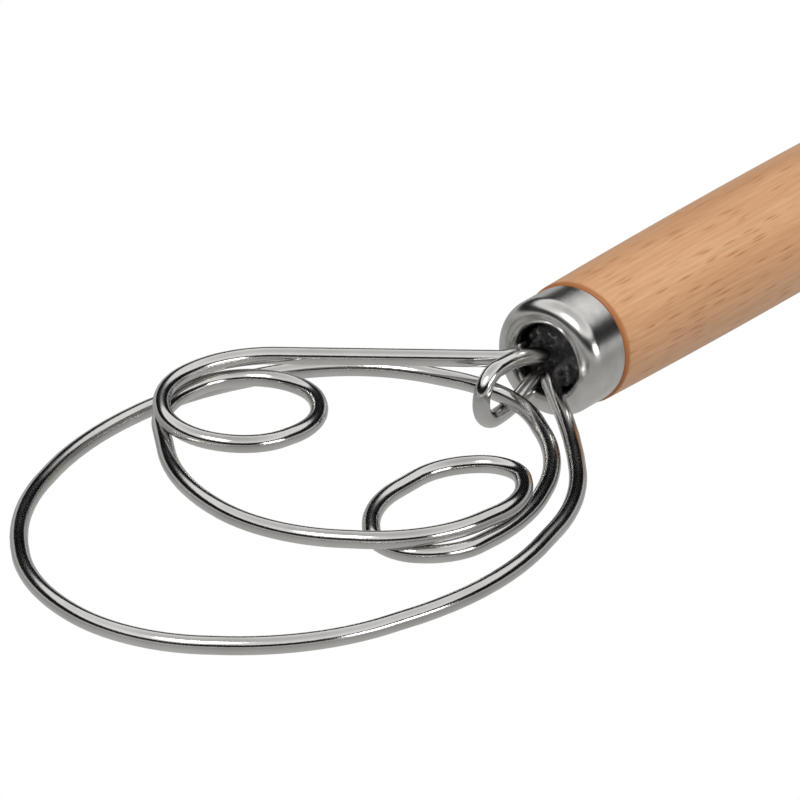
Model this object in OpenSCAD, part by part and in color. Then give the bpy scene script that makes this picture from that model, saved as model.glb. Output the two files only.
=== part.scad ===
// Dough whisk: a turned beech handle with a steel ferrule, and one long round wire bent into
// an outer loop, an inner bow and two small coils, held at the ferrule by a short wire eye.
// The handle runs along +X and the wire head lies in the XY plane towards -X.
// The origin is the centre of the hanging hole near the end of the handle.

/* [Wire] */
// Diameter of the steel wire
wire_d = 3.2; // [3:0.1:3.4]
// Free space between strands that cross or lie on each other
strand_gap = 0.3; // [0.2:0.05:0.5]
// How far the strands reach into the handle, from the ferrule's mouth
tang_l = 25; // [20:1:30]

/* [Head] */
// Reach of the outer loop in front of the ferrule
head_l = 129; // [124:1:140]
// Width of the outer loop
head_w = 88; // [86:1:96]
// Radius of the left coil along the whisk
left_coil_rx = 15.8; // [15:0.1:16.5]
// Radius of the left coil across the whisk
left_coil_ry = 13.2; // [12.6:0.1:13.8]
// Radius of the right coil along the whisk
right_coil_rx = 18; // [17.2:0.1:18.6]
// Radius of the right coil across the whisk
right_coil_ry = 10.8; // [10.4:0.1:11.4]

/* [Eye] */
// Inner height of the wire eye that the outer strand passes through
eye_h = 6.5; // [6:0.1:7.5]
// Reach of the wire eye in front of the ferrule
eye_l = 16.8; // [16:0.1:18]

/* [Ferrule] */
// Outside diameter of the ferrule
ferrule_d = 22.6; // [22:0.1:23.4]
// Length of the ferrule
ferrule_l = 9.8; // [9:0.1:14]
// Thickness of the ferrule's sheet
ferrule_wall = 0.8; // [0.6:0.05:1]
// Diameter of the ferrule's mouth
mouth_d = 13.6; // [13:0.1:14.4]
// Outer rounding of the ferrule's front edge
front_r = 3; // [2:0.1:3.2]
// Inner rounding of the ferrule's mouth
lip_r = 1.4; // [1:0.1:1.6]

/* [Handle] */
// Diameter of the wood where it meets the ferrule
neck_d = 23.3; // [22.8:0.1:24.5]
// Largest diameter of the handle
grip_d = 25; // [24.6:0.1:28]
// Length of the wood behind the ferrule
wood_l = 200; // [170:1:220]
// Place of the largest diameter, from the ferrule's mouth
grip_x = 85; // [75:1:100]
// Rounding of the handle's end
end_r = 7; // [5:0.5:9]
// Rounding of the wood's front shoulder
shoulder_r = 0.8; // [0.4:0.1:1.2]

/* [Hanging hole] */
// Diameter of the hanging hole
hole_d = 6; // [4:0.5:8]
// Distance of the hanging hole from the handle's end
hole_inset = 14; // [12:0.5:20]
// Chamfer round the hanging hole
hole_chamfer = 0.8; // [0.4:0.1:1.2]

/* [Hidden] */
$fn = 96;

fit_gap = 0.1;                       // clearance between pieces that fit into each other
bond_gap = 0.05;                     // clearance between a strand and what grips it
pitch = wire_d + strand_gap;         // height of one layer of wire
wire_r = wire_d / 2;

shoulder_x = ferrule_l + fit_gap;    // wood shoulder, measured from the ferrule's mouth
end_x = shoulder_x + wood_l;         // end of the handle
hole_x = end_x - hole_inset;
tenon_x = lip_r + ferrule_wall + 3;  // front of the wood inside the ferrule
tenon_r = ferrule_d / 2 - ferrule_wall - fit_gap;
bore_r = mouth_d / 2 - 0.4;          // bore for the strands in the wood
weld_x = 2.6;                        // front of the weld in the mouth
weld_rim_r = 1.2;

// A point of the head's plan, drawn for a 129 by 88 mm head, at a height in wire layers
drawn_l = 129;
drawn_w = 88;
function plan(x, y, layer) = [x * head_l / drawn_l, y * head_w / drawn_w, layer * pitch];

// Where the four strands lie in the mouth and in the bore
arm_seat = [1.1, 0.36] * pitch;
tail_seat = [-0.5, -0.7] * pitch;
eye_top_seat = [0, 0.37] * pitch;
eye_foot_seat = [0.54, -1.03] * pitch;
function seated(x, seat) = [x, seat[0], seat[1]];

// Corners round a coil: six a turn, dropping from one layer to another
function coil(centre, rx, ry, turn, start, corners, top, bottom, tilt) = [
    for (i = [0:corners - 1])
        let (a = start + 60 * i, out = 1 / cos(30),
             u = rx * out * cos(a), v = ry * out * sin(a),
             x = u * cos(turn) - v * sin(turn), y = u * sin(turn) + v * cos(turn),
             drop = i / (corners - 1))
        [centre[0] + x, centre[1] + y,
         (top + (bottom - top) * drop) * pitch + tilt * y]
];

left_coil_c = plan(-54, 28, 0);
right_coil_c = plan(-57, -19.5, 0);
loop_layer = -1.1;

// The long wire's corners, in order: arm, left coil, bow, right coil, outer arc, back, loop, tail
whisk_route = concat(
    [seated(tang_l, arm_seat), seated(-5.4, arm_seat)],
    coil(left_coil_c, left_coil_rx, left_coil_ry, 5, 45.5, 8, 1.12, -0.12, 0.04),
    [plan(-83, 20.5, 0), plan(-89, -4, 0), plan(-73.5, -27.5, 0)],
    coil(right_coil_c, right_coil_rx, right_coil_ry, 3.5, -69, 7, -0.1, -1.12, 0),
    [plan(-26, -22, loop_layer), plan(-7, 0.5, loop_layer)],
    [plan(-13, 25, loop_layer), plan(-24.5, 37.5, loop_layer), plan(-47, 47.5, loop_layer)],
    [plan(-74, 48.5, loop_layer), plan(-103.5, 39.5, loop_layer), plan(-124.5, 19.5, loop_layer),
     plan(-129.5, -6, loop_layer), plan(-111.5, -31, loop_layer), plan(-74, -42.5, loop_layer),
     plan(-37, -34, loop_layer)],
    [plan(-17, -18.5, -1), seated(-1, tail_seat), seated(tang_l, tail_seat)]
);

// The eye's corners: a flat U round the strand that passes through it
eye_y = 1.8;
eye_mid_z = loop_layer * pitch + 1.3;
eye_top_z = eye_mid_z + (eye_h + wire_d) / 2;
eye_foot_z = eye_mid_z - (eye_h + wire_d) / 2;
eye_route = [
    seated(tang_l, eye_top_seat), seated(0.5, eye_top_seat), [-6, eye_y, eye_top_z],
    [-eye_l, eye_y, eye_top_z], [-eye_l, eye_y, eye_foot_z], [-8, eye_y, eye_foot_z],
    seated(1.5, eye_foot_seat), seated(tang_l, eye_foot_seat)
];

// Bend radius where a strand turns into the mouth
mouth_bend = 6;

function unit(v) = v / norm(v);
function bend_angle(r, i) =
    acos(max(-1, min(1, unit(r[i] - r[i - 1]) * unit(r[i + 1] - r[i]))));
function side(r, i) = norm(r[i + 1] - r[i]);
function is_mouth(r, i) = i == 1 || i == len(r) - 2;
// Length of wire that a corner takes from each side: half the shorter side, less at the mouth
function reach(r, i) =
    i <= 0 || i >= len(r) - 1 ? 0 :
    let (before = i == 1 ? side(r, 0) : side(r, i - 1) / 2,
         after = i == len(r) - 2 ? side(r, i) : side(r, i) / 2,
         most = min(before, after))
    is_mouth(r, i) ? min(most, mouth_bend * tan(bend_angle(r, i) / 2)) : most;
function bend_radius(r, i) = reach(r, i) / tan(bend_angle(r, i) / 2);

// Everything is drawn from the ferrule's mouth and set so that the hanging hole is the origin
module at_hanging_hole() {
    translate([-hole_x, 0, 0]) children();
}

// Turns a profile, drawn as [distance along the handle, radius], round the handle's axis
module turned(profile) {
    rotate([0, 90, 0]) rotate([0, 0, 50]) rotate_extrude()
        polygon([for (p = profile) [p[1], p[0]]]);
}

function arc(cx, cr, radius, from, to, steps) =
    [for (i = [0:steps]) let (a = from + (to - from) * i / steps)
        [cx + radius * cos(a), cr + radius * sin(a)]];

// Radius of the handle's barrel at a distance along it
sag = (grip_d - neck_d) / 2;
barrel_r = (pow(grip_x - shoulder_x, 2) + sag * sag) / (2 * sag);
function barrel(x) = grip_d / 2 - barrel_r + sqrt(barrel_r * barrel_r - pow(x - grip_x, 2));

module handle() {
    body_from = shoulder_x + shoulder_r;
    body_to = end_x - end_r;
    steps = 16;
    mouth_z = barrel(hole_x) - hole_chamfer;
    flare = 3 * hole_chamfer;
    color("burlywood") at_hanging_hole() difference() {
        turned(concat(
            [[tenon_x, 0], [tenon_x, tenon_r - 0.5], [tenon_x + 0.5, tenon_r], [shoulder_x, tenon_r]],
            arc(body_from, barrel(body_from) - shoulder_r, shoulder_r, 180, 90, 4),
            [for (i = [1:steps - 1]) let (x = body_from + (body_to - body_from) * i / steps)
                [x, barrel(x)]],
            arc(body_to, barrel(body_to) - end_r, end_r, 90, 0, 8),
            [[end_x, 0]]));
        translate([tenon_x - 1, 0, 0]) rotate([0, 90, 0])
            cylinder(r = bore_r, h = tang_l + 2 - tenon_x + 1);
        translate([hole_x, 0, 0]) rotate_extrude() polygon([
            [0, -mouth_z - flare], [hole_d / 2 + flare, -mouth_z - flare], [hole_d / 2, -mouth_z],
            [hole_d / 2, mouth_z], [hole_d / 2 + flare, mouth_z + flare], [0, mouth_z + flare]]);
    }
}

module ferrule() {
    outer = ferrule_d / 2;
    inner = outer - ferrule_wall;
    mouth = mouth_d / 2;
    color("silver") at_hanging_hole() turned(concat(
        [[ferrule_l, inner], [ferrule_l, outer]],
        arc(front_r, outer - front_r, front_r, 90, 180, 8),
        arc(lip_r, mouth + lip_r, lip_r, 180, 270, 6),
        [[lip_r + ferrule_wall, mouth], [lip_r + ferrule_wall, mouth + ferrule_wall]],
        arc(lip_r, mouth + lip_r, lip_r - ferrule_wall, 270, 180, 4),
        arc(front_r, outer - front_r, front_r - ferrule_wall, 180, 90, 8)));
}

// Rings of a wire: [centre, direction] at even steps round every bend
ring_sides = 10;
ring_turn = 12;
function bend_rings(r, i) =
    let (into = unit(r[i] - r[i - 1]), out = unit(r[i + 1] - r[i]),
         inward = cross(unit(cross(into, out)), into),
         turn = bend_angle(r, i), radius = bend_radius(r, i),
         start = r[i] - reach(r, i) * into, steps = ceil(turn / ring_turn))
    [for (k = [0:steps - 1]) let (a = turn * (k + 0.5) / steps)
        [start + radius * (1 - cos(a)) * inward + radius * sin(a) * into,
         cos(a) * into + sin(a) * inward]];
function route_rings(r) =
    let (last = len(r) - 1)
    concat([[r[0], unit(r[1] - r[0])]],
           [for (i = [1:last - 1]) for (ring = bend_rings(r, i)) ring],
           [[r[last], unit(r[last] - r[last - 1])]]);

// Sweeps a round section through the rings of route r, which never runs along upright
module swept_wire(r, upright) {
    rings = route_rings(r);
    n = ring_sides;
    count = len(rings);
    points = [for (ring = rings)
        let (along = ring[1], across = unit(cross(upright, along)), up = cross(along, across))
        for (k = [0:n - 1]) ring[0] + wire_r * (cos(360 * k / n) * across + sin(360 * k / n) * up)];
    walls = [for (j = [0:count - 2]) for (k = [0:n - 1])
        let (a = j * n + k, b = j * n + (k + 1) % n)
        [a, a + n, b + n, b]];
    caps = [[for (k = [0:n - 1]) k], [for (k = [n - 1:-1:0]) (count - 1) * n + k]];
    polyhedron(points, concat(walls, caps), convexity = 10);
}

module whisk_wire() {
    color("gainsboro") at_hanging_hole() swept_wire(whisk_route, [0, 0, 1]);
}

module retaining_eye() {
    color("gainsboro") at_hanging_hole() swept_wire(eye_route, [0, 1, 0]);
}

// Straight bores for the four strands
module strand_bores(from, to) {
    for (seat = [arm_seat, tail_seat, eye_top_seat, eye_foot_seat])
        translate([from, seat[0], seat[1]]) rotate([0, 90, 0])
            cylinder(r = wire_r + bond_gap, h = to - from);
}

module weld_bead() {
    rim = mouth_d / 2 - fit_gap;
    back = tenon_x - fit_gap;
    color("dimgray") at_hanging_hole() difference() {
        turned(concat([[weld_x, 0]],
            arc(weld_x + weld_rim_r, rim - weld_rim_r, weld_rim_r, 180, 90, 4),
            [[back, rim], [back, 0]]));
        strand_bores(weld_x - 1, back + 1);
    }
}

module glue_fill() {
    color("wheat") at_hanging_hole() difference() {
        translate([tenon_x, 0, 0]) rotate([0, 90, 0])
            cylinder(r = bore_r - fit_gap, h = tang_l + 1.5 - tenon_x);
        strand_bores(tenon_x - 1, tang_l + fit_gap);
    }
}

handle();
ferrule();
whisk_wire();
retaining_eye();
weld_bead();
glue_fill();
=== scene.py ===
from math import acos, ceil, cos, pi, radians, sin, sqrt, tan

import bpy
from mathutils import Matrix, Vector


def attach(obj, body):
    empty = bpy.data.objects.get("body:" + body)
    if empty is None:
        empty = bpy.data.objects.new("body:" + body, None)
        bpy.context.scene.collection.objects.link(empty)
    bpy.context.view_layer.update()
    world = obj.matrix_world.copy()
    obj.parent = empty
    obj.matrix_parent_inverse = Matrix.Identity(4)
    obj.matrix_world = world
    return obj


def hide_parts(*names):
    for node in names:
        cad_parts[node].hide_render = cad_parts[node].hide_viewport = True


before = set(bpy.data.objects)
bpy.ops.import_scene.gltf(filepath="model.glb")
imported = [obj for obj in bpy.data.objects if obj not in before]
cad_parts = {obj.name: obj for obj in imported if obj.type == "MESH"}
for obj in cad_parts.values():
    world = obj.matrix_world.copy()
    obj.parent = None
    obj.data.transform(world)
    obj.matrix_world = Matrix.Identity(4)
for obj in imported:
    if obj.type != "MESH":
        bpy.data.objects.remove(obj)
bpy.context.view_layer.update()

# Lengths are in mm from the ferrule's mouth, with the handle along +X. inFrame turns a place
# into metres from the hanging hole, where the frame has its origin.
mm = 0.001
fitGap = 0.1  # between pieces that fit into each other


def inFrame(place):
    x, y, z = place
    return ((x - mouthToHole) * mm, y * mm, z * mm)


# Node helpers


def newMaterial(name):
    mat = bpy.data.materials.new(name)
    mat.use_nodes = True
    place = addNode(mat, "TexCoord").outputs["Object"]
    return mat, mat.node_tree.nodes["Principled BSDF"], place


def plug(owner, value, socket):
    # A socket takes another node's output or a plain value
    if isinstance(value, bpy.types.NodeSocket):
        owner.node_tree.links.new(value, socket)
    else:
        socket.default_value = value


def addNode(owner, kind, values=(), **settings):
    node = owner.node_tree.nodes.new("ShaderNode" + kind)
    for field, value in settings.items():
        setattr(node, field, value)
    for socket, value in dict(values).items():
        plug(owner, value, node.inputs[socket])
    return node


def stretched(mat, place, scale):
    return addNode(mat, "Mapping", {"Vector": place, "Scale": scale}).outputs["Vector"]


def noise(mat, place, scale, detail, roughness=0.5):
    values = {"Vector": place, "Scale": scale, "Detail": detail, "Roughness": roughness}
    return addNode(mat, "TexNoise", values).outputs["Fac"]


def ramp(owner, factor, stops):
    node = addNode(owner, "ValToRGB", {"Fac": factor})
    elements = node.color_ramp.elements
    while len(elements) < len(stops):
        elements.new(0.5)
    for element, (position, colour) in zip(elements, stops):
        element.position = position
        element.color = (*colour, 1)
    return node.outputs["Color"]


def ranged(owner, value, low, high, fromLow=0, fromHigh=1):
    values = {"Value": value, "From Min": fromLow, "From Max": fromHigh, "To Min": low, "To Max": high}
    return addNode(owner, "MapRange", values).outputs["Result"]


def mixed(mat, factor, under, over, blend="MIX"):
    values = {"Factor": factor, "A": under, "B": over}
    return addNode(mat, "Mix", data_type="RGBA", values=values, blend_type=blend).outputs["Result"]


def mathNode(mat, operation, first, second):
    node = addNode(mat, "Math", operation=operation)
    plug(mat, first, node.inputs[0])
    plug(mat, second, node.inputs[1])
    return node.outputs[0]


def roughen(mat, shader, height, strength, depth):
    values = {"Height": height, "Strength": strength, "Distance": depth}
    plug(mat, addNode(mat, "Bump", values).outputs["Normal"], shader.inputs["Normal"])


# Mesh helpers


def dress(obj, mat, node):
    obj.data.materials.clear()
    obj.data.materials.append(mat)
    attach(obj, "root")
    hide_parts(node)


def pickOnly(obj):
    bpy.ops.object.select_all(action="DESELECT")
    bpy.context.view_layer.objects.active = obj
    obj.select_set(True)


def addObject(name, data):
    obj = bpy.data.objects.new(name, data)
    bpy.context.collection.objects.link(obj)
    return obj


def applied(obj, kind, **settings):
    bpy.ops.object.modifier_add(type=kind)
    modifier = obj.modifiers[-1]
    for field, value in settings.items():
        setattr(modifier, field, value)
    bpy.ops.object.modifier_apply(modifier=modifier.name)


def arc(centreX, centreR, radius, start, end, steps):
    angles = [radians(start + (end - start) * i / steps) for i in range(steps + 1)]
    return [(centreX + radius * cos(a), centreR + radius * sin(a)) for a in angles]


turning = {"sides": 192, "weldSides": 96, "sharpAngle": 35, "mergeGap": 0.01}


def turned(name, profile, sides, closed=False):
    # The profile is a chain of edges, (along the handle, radius), that a screw takes round the axis
    points = [inFrame((x, r, 0)) for x, r in profile]
    edges = [(i, i + 1) for i in range(len(points) - 1)]
    if closed:
        edges.append((len(points) - 1, 0))
    mesh = bpy.data.meshes.new(name)
    mesh.from_pydata(points, edges, [])
    obj = addObject(name, mesh)
    pickOnly(obj)
    applied(obj, "SCREW", axis="X", steps=sides, render_steps=sides,
            use_merge_vertices=True, merge_threshold=turning["mergeGap"] * mm)
    bpy.ops.object.mode_set(mode="EDIT")
    bpy.ops.mesh.select_all(action="SELECT")
    bpy.ops.mesh.normals_make_consistent(inside=False)
    bpy.ops.object.mode_set(mode="OBJECT")
    bpy.ops.object.shade_smooth_by_angle(angle=radians(turning["sharpAngle"]))
    return obj


# Bent wires: the long whisk wire and the short eye round its strand

wire = {
    "diameter": 3.2,
    "strandGap": 0.3,
    "tang": 25,  # how far the strands reach into the handle
    "mouthBend": 6,  # bend radius where a strand turns into the mouth
    "bendStep": 3,  # degrees between two rings of a bend
    "sectionSteps": 8,
    "sharpAngle": 40,
    "dullSteel": (0.5, 0.49, 0.475),
    "brightSteel": (0.62, 0.61, 0.595),
    "roughness": (0.09, 0.19),
}
pitch = wire["diameter"] + wire["strandGap"]  # height of one layer of wire

# Where the four strands lie in the mouth: across and up, in layers
seats = {"arm": (1.1, 0.36), "tail": (-0.5, -0.7), "eyeTop": (0, 0.37), "eyeFoot": (0.54, -1.03)}

leftCoil = {"x": -54, "y": 28, "rx": 15.8, "ry": 13.2, "turn": 5, "start": 45.5, "corners": 8,
            "top": 1.12, "bottom": -0.12, "tilt": 0.04}
rightCoil = {"x": -57, "y": -19.5, "rx": 18, "ry": 10.8, "turn": 3.5, "start": -69, "corners": 7,
             "top": -0.1, "bottom": -1.12, "tilt": 0}
loopLayer = -1.1
eye = {"y": 1.8, "reach": 16.8, "height": 6.5, "middle": loopLayer * pitch + 1.3}


def layered(layer, *places):
    return [(x, y, layer * pitch) for x, y in places]


def seated(x, strand):
    across, up = seats[strand]
    return (x, across * pitch, up * pitch)


def coilCorners(coil):
    # Six corners a turn, outside the round so that their arcs touch it, dropping layer by layer
    points = []
    turn = radians(coil["turn"])
    for i in range(coil["corners"]):
        angle = radians(coil["start"] + 60 * i)
        u = coil["rx"] * cos(angle) / cos(pi / 6)
        v = coil["ry"] * sin(angle) / cos(pi / 6)
        x = u * cos(turn) - v * sin(turn)
        y = u * sin(turn) + v * cos(turn)
        layer = coil["top"] + (coil["bottom"] - coil["top"]) * i / (coil["corners"] - 1)
        points.append((coil["x"] + x, coil["y"] + y, layer * pitch + coil["tilt"] * y))
    return points


def whiskRoute():
    return (
        [seated(wire["tang"], "arm"), seated(-5.4, "arm")]
        + coilCorners(leftCoil)
        + layered(0, (-83, 20.5), (-89, -4), (-73.5, -27.5))
        + coilCorners(rightCoil)
        + layered(loopLayer, (-26, -22), (-7, 0.5), (-13, 25), (-24.5, 37.5), (-47, 47.5), (-74, 48.5),
                  (-103.5, 39.5), (-124.5, 19.5), (-129.5, -6), (-111.5, -31), (-74, -42.5), (-37, -34))
        + layered(-1, (-17, -18.5))
        + [seated(-1, "tail"), seated(wire["tang"], "tail")]
    )


def eyeRoute():
    halfHeight = (eye["height"] + wire["diameter"]) / 2
    top, foot = eye["middle"] + halfHeight, eye["middle"] - halfHeight
    return [
        seated(wire["tang"], "eyeTop"), seated(0.5, "eyeTop"), (-6, eye["y"], top),
        (-eye["reach"], eye["y"], top), (-eye["reach"], eye["y"], foot), (-8, eye["y"], foot),
        seated(1.5, "eyeFoot"), seated(wire["tang"], "eyeFoot"),
    ]


def rounded(route):
    # Each corner takes half its shorter side for its arc, and less at the mouth
    corners = [Vector(place) for place in route]
    last = len(corners) - 1
    path = [corners[0]]
    for i in range(1, last):
        into, out = corners[i] - corners[i - 1], corners[i + 1] - corners[i]
        before = into.length if i == 1 else into.length / 2
        after = out.length if i == last - 1 else out.length / 2
        into.normalize()
        out.normalize()
        turn = acos(max(-1, min(1, into.dot(out))))
        reach = min(before, after)
        if i in (1, last - 1):
            reach = min(reach, wire["mouthBend"] * tan(turn / 2))
        radius = reach / tan(turn / 2)
        inward = into.cross(out).normalized().cross(into)
        start = corners[i] - reach * into
        steps = max(3, ceil(turn / radians(wire["bendStep"])))
        for k in range(steps):
            angle = turn * (k + 0.5) / steps
            path.append(start + radius * (1 - cos(angle)) * inward + radius * sin(angle) * into)
    path.append(corners[last])
    return path


def wireSteel():
    mat, shader, place = newMaterial("wireSteel")
    cloud = noise(mat, place, 90, 3)
    tone = ramp(mat, cloud, [(0.3, wire["dullSteel"]), (0.7, wire["brightSteel"])])
    plug(mat, 1, shader.inputs["Metallic"])
    plug(mat, tone, shader.inputs["Base Color"])
    plug(mat, ranged(mat, cloud, *wire["roughness"]), shader.inputs["Roughness"])
    roughen(mat, shader, noise(mat, place, 2600, 2, 0.7), 0.12, 0.00006)  # drawn wire's fine grit
    return mat


def bentWire(name, route, mat, node):
    path = rounded(route)
    curve = bpy.data.curves.new(name, "CURVE")
    curve.dimensions = "3D"
    curve.bevel_depth = wire["diameter"] / 2 * mm
    curve.bevel_resolution = wire["sectionSteps"]
    curve.use_fill_caps = True
    spline = curve.splines.new("POLY")
    spline.points.add(len(path) - 1)
    for point, place in zip(spline.points, path):
        point.co = (*inFrame(place), 1)
    pickOnly(addObject(name, curve))
    bpy.ops.object.convert(target="MESH")
    bpy.ops.object.shade_smooth_by_angle(angle=radians(wire["sharpAngle"]))
    dress(bpy.context.object, mat, node)


# Ferrule: a drawn cup with a rounded front edge and a lip that turns in to the mouth

ferrule = {
    "diameter": 22.6,
    "length": 9.8,
    "wall": 0.8,
    "mouth": 13.6,
    "frontR": 3,
    "lipR": 1.4,
    "backChamfer": 0.15,
    "dullSteel": (0.52, 0.51, 0.49),
    "brightSteel": (0.62, 0.61, 0.59),
    "roughness": (0.12, 0.3),
}
lipEnd = ferrule["lipR"] + ferrule["wall"]  # where the lip's sheet ends, inside the mouth


def ferruleSteel():
    mat, shader, place = newMaterial("ferruleSteel")
    lines = noise(mat, stretched(mat, place, (9000, 60, 60)), 1, 3, 0.65)  # polishing lines round X
    patches = noise(mat, place, 260, 3)
    tone = ramp(mat, patches, [(0.3, ferrule["dullSteel"]), (0.7, ferrule["brightSteel"])])
    plug(mat, 1, shader.inputs["Metallic"])
    plug(mat, tone, shader.inputs["Base Color"])
    plug(mat, ranged(mat, lines, *ferrule["roughness"]), shader.inputs["Roughness"])
    roughen(mat, shader, lines, 0.16, 0.00008)
    return mat


def makeFerrule():
    wall, length, frontR, lipR = ferrule["wall"], ferrule["length"], ferrule["frontR"], ferrule["lipR"]
    outer, mouth, chamfer = ferrule["diameter"] / 2, ferrule["mouth"] / 2, ferrule["backChamfer"]
    profile = (
        [(length, outer - wall), (length, outer - chamfer), (length - chamfer, outer)]
        + arc(frontR, outer - frontR, frontR, 90, 180, 20)
        + arc(lipR, mouth + lipR, lipR, 180, 270, 14)
        + [(lipEnd, mouth), (lipEnd, mouth + wall)]
        + arc(lipR, mouth + lipR, lipR - wall, 270, 180, 8)
        + arc(frontR, outer - frontR, frontR - wall, 180, 90, 12)
    )
    cup = turned("ferruleCup", profile, turning["sides"], closed=True)
    dress(cup, ferruleSteel(), "ferrule")


# Weld in the mouth, round the strands

weld = {
    "front": 2.6,
    "back": lipEnd + 2.9,
    "rimR": 1.2,
    "rings": (1.2, 2.4, 3.6, 4.6),  # radii of the rings that let its flat front turn lumpy
    "lumpSize": 2.2,
    "lumpHeight": 0.25,
    "black": (0.01, 0.01, 0.012),
    "dark": (0.05, 0.048, 0.05),
    "glint": (0.3, 0.27, 0.24),
    "roughness": (0.05, 0.3),
}


def weldMetal():
    mat, shader, place = newMaterial("weldMetal")
    lumps = noise(mat, place, 700, 5, 0.6)
    tone = ramp(mat, lumps, [(0.35, weld["black"]), (0.58, weld["dark"]), (0.7, weld["glint"])])
    plug(mat, 0.8, shader.inputs["Metallic"])
    plug(mat, tone, shader.inputs["Base Color"])
    plug(mat, ranged(mat, lumps, *weld["roughness"]), shader.inputs["Roughness"])
    roughen(mat, shader, lumps, 0.9, 0.0006)
    return mat


def makeWeld():
    front, back, rimR, rim = weld["front"], weld["back"], weld["rimR"], ferrule["mouth"] / 2 - fitGap
    profile = (
        [(front, 0)] + [(front, r) for r in weld["rings"]]
        + arc(front + rimR, rim - rimR, rimR, 180, 90, 10)
        + [(back, rim), (back, 0)]
    )
    bead = turned("weldBead", profile, turning["weldSides"])
    lumps = bpy.data.textures.new("weldLumps", "CLOUDS")
    lumps.noise_scale = weld["lumpSize"] * mm
    # mid_level 1 keeps the lumps inside the turned shape
    applied(bead, "DISPLACE", texture=lumps, texture_coords="LOCAL", mid_level=1,
            strength=weld["lumpHeight"] * mm)
    dress(bead, weldMetal(), "weld_bead")


# Handle: a long barrel with a tenon in the ferrule, a bore for the strands and a hanging hole

handle = {
    "neck": 23.3,
    "grip": 25,
    "gripX": 85,
    "length": 200,
    "endR": 7,
    "shoulderR": 0.8,
    "barrelSteps": 60,
    "hole": 6,
    "holeSides": 96,
    "holeInset": 14,
    "tenonGap": 3,  # from the lip's end to the tenon
    "tenonChamfer": 0.5,
    "boreInset": 0.4,
    "boreExtra": 2,  # how far the bore goes past the strands
}
shoulderX = ferrule["length"] + fitGap
endX = shoulderX + handle["length"]
mouthToHole = endX - handle["holeInset"]

beechTones = {
    "dark": (0.6, 0.315, 0.155),
    "middle": (0.66, 0.37, 0.195),
    "pale": (0.71, 0.43, 0.245),
    "fibre": (0.8, 0.74, 0.68),
    "fleck": (0.4, 0.16, 0.06),
    "shoulder": (0.36, 0.13, 0.04),
    # painted shade: near black for the wood inside the ferrule
    "shadeInFerrule": (0.015, 0.012, 0.01),
    "roughness": (0.36, 0.5),
    "plainCells": 0.6,  # share of the cells that hold no fleck
}


def opaque(colour):
    return (*colour, 1)


def beechFlecks(mat, place):
    # Long cells, some of which hold a short dark fleck
    cells = addNode(mat, "TexVoronoi", {"Vector": stretched(mat, place, (130, 1700, 1700)), "Scale": 1})
    lot = addNode(mat, "SeparateColor", {"Color": cells.outputs["Color"]}).outputs["Red"]
    chosen = mathNode(mat, "GREATER_THAN", lot, beechTones["plainCells"])
    core = ramp(mat, cells.outputs["Distance"], [(0.08, (0.9, 0.9, 0.9)), (0.42, (0, 0, 0))])
    return mathNode(mat, "MULTIPLY", chosen, core)


def beech():
    mat, shader, place = newMaterial("beech")
    bands = noise(mat, stretched(mat, place, (5, 110, 60)), 1, 3)
    fibre = noise(mat, stretched(mat, place, (60, 1600, 1600)), 1, 4, 0.65)
    base = ramp(mat, bands, [(0.3, beechTones["dark"]), (0.5, beechTones["middle"]),
                             (0.72, beechTones["pale"])])
    grain = ramp(mat, fibre, [(0.3, beechTones["fibre"]), (0.7, (1, 1, 1))])
    wood = mixed(mat, 1, base, grain, "MULTIPLY")
    flecked = mixed(mat, beechFlecks(mat, place), wood, opaque(beechTones["fleck"]))
    # The turned shoulder shows darker end grain, and inside the ferrule the wood is painted near black
    # as painted shade
    along = addNode(mat, "SeparateXYZ", {"Vector": place}).outputs["X"]
    shoulder = inFrame((shoulderX, 0, 0))[0]
    edge = ranged(mat, along, 1, 0, shoulder + 0.5 * mm, shoulder + 1.3 * mm)
    inside = mathNode(mat, "LESS_THAN", along, shoulder - 0.4 * mm)
    ringed = mixed(mat, edge, flecked, opaque(beechTones["shoulder"]))
    # the wood inside the ferrule takes the painted shade colour
    tone = mixed(mat, inside, ringed, opaque(beechTones["shadeInFerrule"]))
    plug(mat, tone, shader.inputs["Base Color"])
    plug(mat, ranged(mat, fibre, *beechTones["roughness"]), shader.inputs["Roughness"])
    plug(mat, 0.35, shader.inputs["Specular IOR Level"])
    roughen(mat, shader, fibre, 0.12, 0.0001)
    return mat


def barrel(x):
    # Radius of the handle at x: an arc from the neck through the grip
    grip, sag = handle["grip"] / 2, (handle["grip"] - handle["neck"]) / 2
    arcR = ((handle["gripX"] - shoulderX) ** 2 + sag ** 2) / (2 * sag)
    return grip - arcR + sqrt(arcR ** 2 - (x - handle["gripX"]) ** 2)


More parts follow.
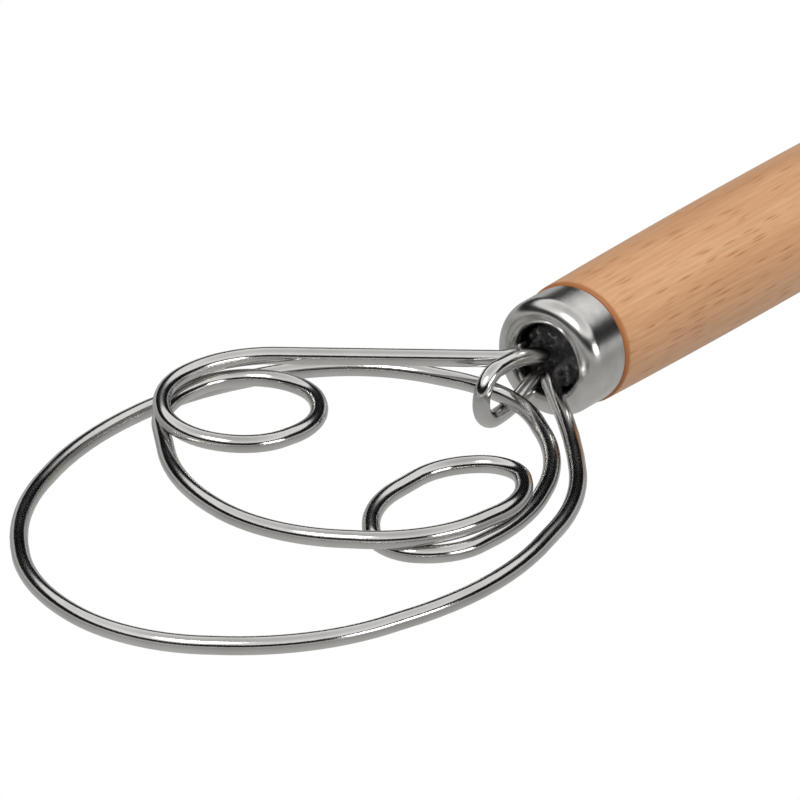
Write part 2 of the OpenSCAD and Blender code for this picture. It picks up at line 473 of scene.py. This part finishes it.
def makeHandle():
    endR, shoulderR, steps = handle["endR"], handle["shoulderR"], handle["barrelSteps"]
    tenonX, chamfer = lipEnd + handle["tenonGap"], handle["tenonChamfer"]
    tenonR = ferrule["diameter"] / 2 - ferrule["wall"] - fitGap
    boreR = ferrule["mouth"] / 2 - handle["boreInset"]
    boreEnd = wire["tang"] + handle["boreExtra"]
    bodyFrom, bodyTo = shoulderX + shoulderR, endX - endR
    between = [bodyFrom + (bodyTo - bodyFrom) * i / steps for i in range(1, steps)]
    profile = (
        [(boreEnd, 0), (boreEnd, boreR), (tenonX, boreR), (tenonX, tenonR - chamfer),
         (tenonX + chamfer, tenonR), (shoulderX, tenonR)]
        + arc(bodyFrom, barrel(bodyFrom) - shoulderR, shoulderR, 180, 90, 10)
        + [(x, barrel(x)) for x in between]
        + arc(bodyTo, barrel(bodyTo) - endR, endR, 90, 0, 24)
        + [(endX, 0)]
    )
    wood = turned("woodHandle", profile, turning["sides"])
    bpy.ops.mesh.primitive_cylinder_add(vertices=handle["holeSides"], radius=handle["hole"] / 2 * mm,
                                        depth=2 * handle["grip"] * mm)
    drill = bpy.context.object
    pickOnly(wood)
    applied(wood, "BOOLEAN", object=drill, operation="DIFFERENCE")
    bpy.data.objects.remove(drill)
    bpy.ops.object.shade_smooth_by_angle(angle=radians(turning["sharpAngle"]))
    dress(wood, beech(), "handle")


# Glue in the bore keeps the mesh of the frame

glueTones = {"dark": (0.5, 0.42, 0.28), "pale": (0.62, 0.54, 0.38), "roughness": 0.6}


def glue():
    mat, shader, place = newMaterial("glue")
    tone = ramp(mat, noise(mat, place, 400, 4), [(0.3, glueTones["dark"]), (0.7, glueTones["pale"])])
    plug(mat, tone, shader.inputs["Base Color"])
    plug(mat, glueTones["roughness"], shader.inputs["Roughness"])
    return mat


def dressGlue():
    mat = glue()
    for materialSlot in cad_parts["glue_fill"].material_slots:
        materialSlot.material = mat


steel = wireSteel()
bentWire("whiskWire", whiskRoute(), steel, "whisk_wire")
bentWire("retainingEye", eyeRoute(), steel, "retaining_eye")
print("wires bent")
makeFerrule()
makeWeld()
print("ferrule and weld made")
makeHandle()
dressGlue()
print("handle and glue made")


# Camera: a long lens, 25 degrees above the plane of the head, with its place in metres

camera = {
    "place": (-1.0478, -0.5674, 0.4684),
    "right": (0.58684, -0.80909, 0.03163),
    "up": (0.32545, 0.27146, 0.90576),
    "lens": 279,
    "sensor": 36,
    "clip": (0.05, 20),
}


def makeCamera():
    data = bpy.data.cameras.new("camera")
    data.lens = camera["lens"]
    data.sensor_width = camera["sensor"]
    data.clip_start, data.clip_end = camera["clip"]
    right, up = Vector(camera["right"]).normalized(), Vector(camera["up"]).normalized()
    turn = Matrix((right, up, right.cross(up))).transposed().to_4x4()
    obj = addObject("camera", data)
    obj.matrix_world = Matrix.Translation(camera["place"]) @ turn
    bpy.context.scene.camera = obj


# Two soft lamps, one high in front of the head and one low beside the handle, in metres

lamps = {
    "keyBox": {"place": (-0.75, -0.15, 0.8), "aim": (-0.2, 0, 0), "size": (0.4, 0.28), "power": 4.5},
    "sideBox": {"place": (-0.1, -0.9, 0.25), "aim": (-0.15, 0, 0), "size": (0.5, 0.2), "power": 2.2},
}


def softbox(name, place, aim, size, power):
    data = bpy.data.lights.new(name, "AREA")
    data.shape = "RECTANGLE"
    data.size, data.size_y = size
    data.energy = power
    turn = (Vector(aim) - Vector(place)).to_track_quat("-Z", "Y").to_matrix().to_4x4()
    addObject(name, data).matrix_world = Matrix.Translation(place) @ turn


# Greys of the studio from straight down to straight up. Steel mirrors the dark band between.
studioGreys = [
    (0, (0.6, 0.6, 0.59)), (0.32, (0.5, 0.5, 0.49)), (0.44, (0.4, 0.4, 0.39)),
    (0.5, (0.6, 0.6, 0.6)), (0.57, (0.6, 0.6, 0.6)), (0.59, (0.004, 0.004, 0.005)),
    (0.77, (0.006, 0.006, 0.008)), (0.79, (1.25, 1.25, 1.24)), (0.9, (1, 1, 1)), (1, (0.7, 0.7, 0.7)),
]


def makeWorld():
    world = bpy.data.worlds.new("studio")
    bpy.context.scene.world = world
    world.use_nodes = True
    world.node_tree.nodes.clear()
    way = addNode(world, "TexCoord").outputs["Generated"]
    rise = addNode(world, "SeparateXYZ", {"Vector": way}).outputs["Z"]
    tone = ramp(world, ranged(world, rise, 0, 1, fromLow=-1), studioGreys)
    studio = addNode(world, "Background", {"Color": tone, "Strength": 1})
    white = addNode(world, "Background", {"Color": (1, 1, 1, 1)})
    seen = addNode(world, "LightPath").outputs["Is Camera Ray"]  # the camera sees plain white
    chosen = addNode(world, "MixShader", {"Fac": seen})
    plug(world, studio.outputs["Background"], chosen.inputs[1])
    plug(world, white.outputs["Background"], chosen.inputs[2])
    addNode(world, "OutputWorld", {"Surface": chosen.outputs["Shader"]})


makeCamera()
makeWorld()
for name, lamp in lamps.items():
    softbox(name, **lamp)
bpy.context.scene.view_settings.view_transform = "Standard"
print("camera and light set")
